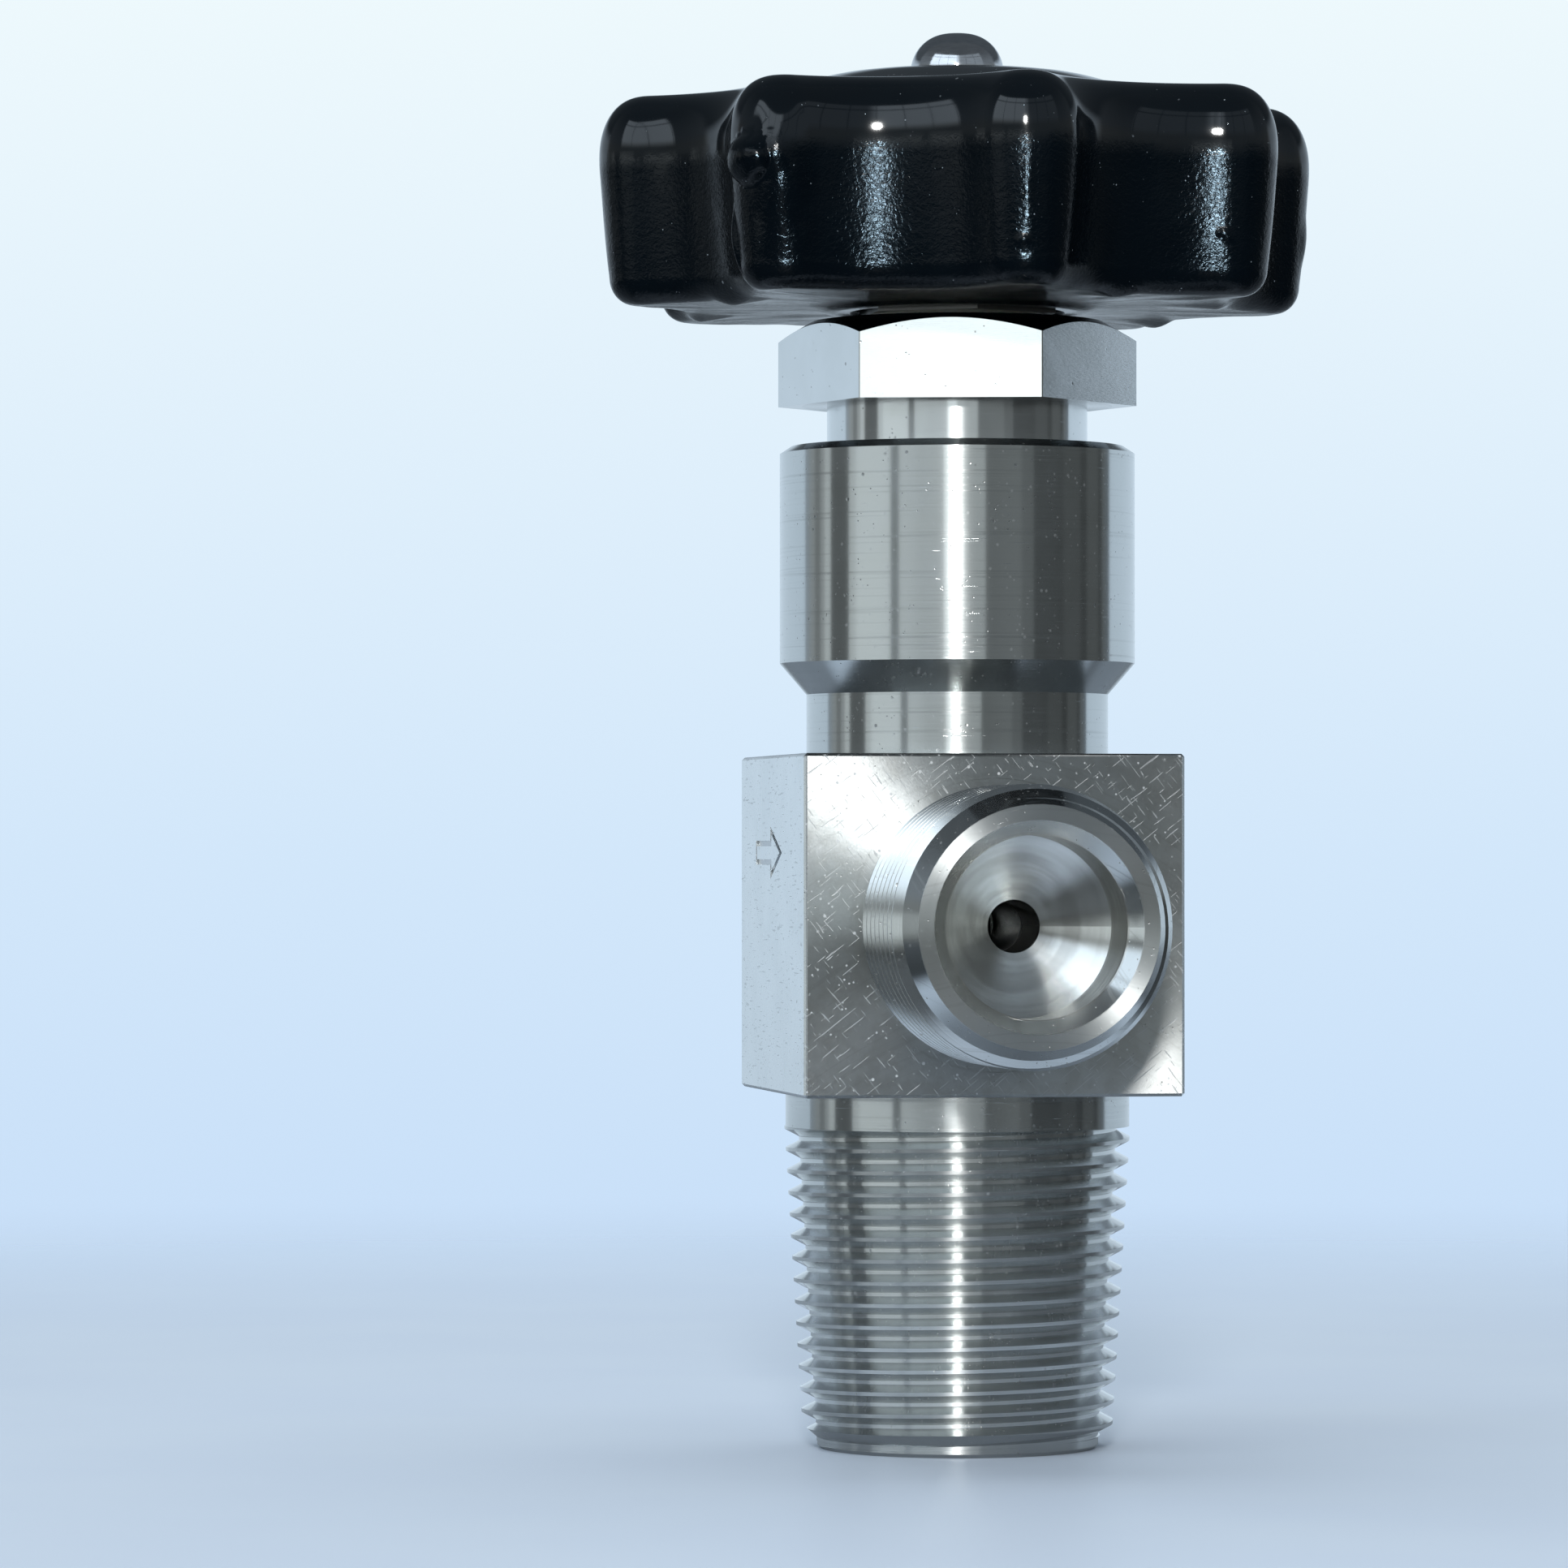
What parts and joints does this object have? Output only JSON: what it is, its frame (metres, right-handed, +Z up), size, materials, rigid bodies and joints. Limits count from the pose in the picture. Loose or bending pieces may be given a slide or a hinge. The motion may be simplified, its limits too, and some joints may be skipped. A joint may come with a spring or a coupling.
{
  "type": "needle valve",
  "caption": "Angle needle valve for a gas cylinder: taper-threaded inlet, threaded side outlet, gland nut and a dipped lobed handwheel that lifts the needle.",
  "frame": {"origin": "centre of the inlet bore at the bottom face of the taper-threaded inlet", "axes": "+Z up along the stem axis, -Y along the outlet axis, out of its mouth"},
  "size_m": [0.0606, 0.0642, 0.1181],
  "materials": {
    "body_steel": "turned and ground stainless steel",
    "nut_steel": "satin stainless steel",
    "stem_steel": "turned stainless steel",
    "needle_steel": "ground stainless steel",
    "seat_polymer": "machined PCTFE",
    "ptfe": "PTFE",
    "seal_copper": "soft copper",
    "seal_rubber": "fluororubber",
    "slip_polymer": "nylon",
    "bush_steel": "plain steel",
    "cast_core": "as-cast aluminium",
    "dipped_coating": "glossy dipped PVC",
    "washer_steel": "stainless steel",
    "spring_steel": "stainless spring wire",
    "polished_nut": "polished stainless steel"
  },
  "bodies": {
    "body": {"valve_body": "body_steel", "seat_ring": "seat_polymer", "stem_thrust_washer": "ptfe", "stem_packing_washer": "ptfe", "gland_seal_ring": "seal_copper", "gland_nut": "nut_steel", "wheel_slip_washer": "slip_polymer"},
    "spindle": {"stem": "stem_steel", "stem_o_rings": "seal_rubber", "stem_backup_rings": "ptfe", "wheel_hub_bush": "bush_steel", "handwheel_core": "cast_core", "handwheel_coating": "dipped_coating", "spring_seat_washer": "washer_steel", "hub_spring": "spring_steel", "nut_washer": "washer_steel", "cap_nut": "polished_nut"},
    "needle": {"needle_plug": "needle_steel", "needle_o_ring": "seal_rubber", "needle_backup_ring": "ptfe"}
  },
  "joints": [
    {"name": "handwheel_turn", "type": "hinge", "parent": "body", "child": "spindle", "pos_m": [0, 0, 0.0437], "axis": [0, 0, 1], "range_deg": [0, 792]},
    {"name": "needle_lift", "type": "slide", "parent": "spindle", "child": "needle", "axis": [0, 0, 1], "range_m": [0, 0.00331]}
  ],
  "couplings": [
    {"joint": "needle_lift", "follows": "handwheel_turn", "m_per_rad": 0.00023873}
  ]
}
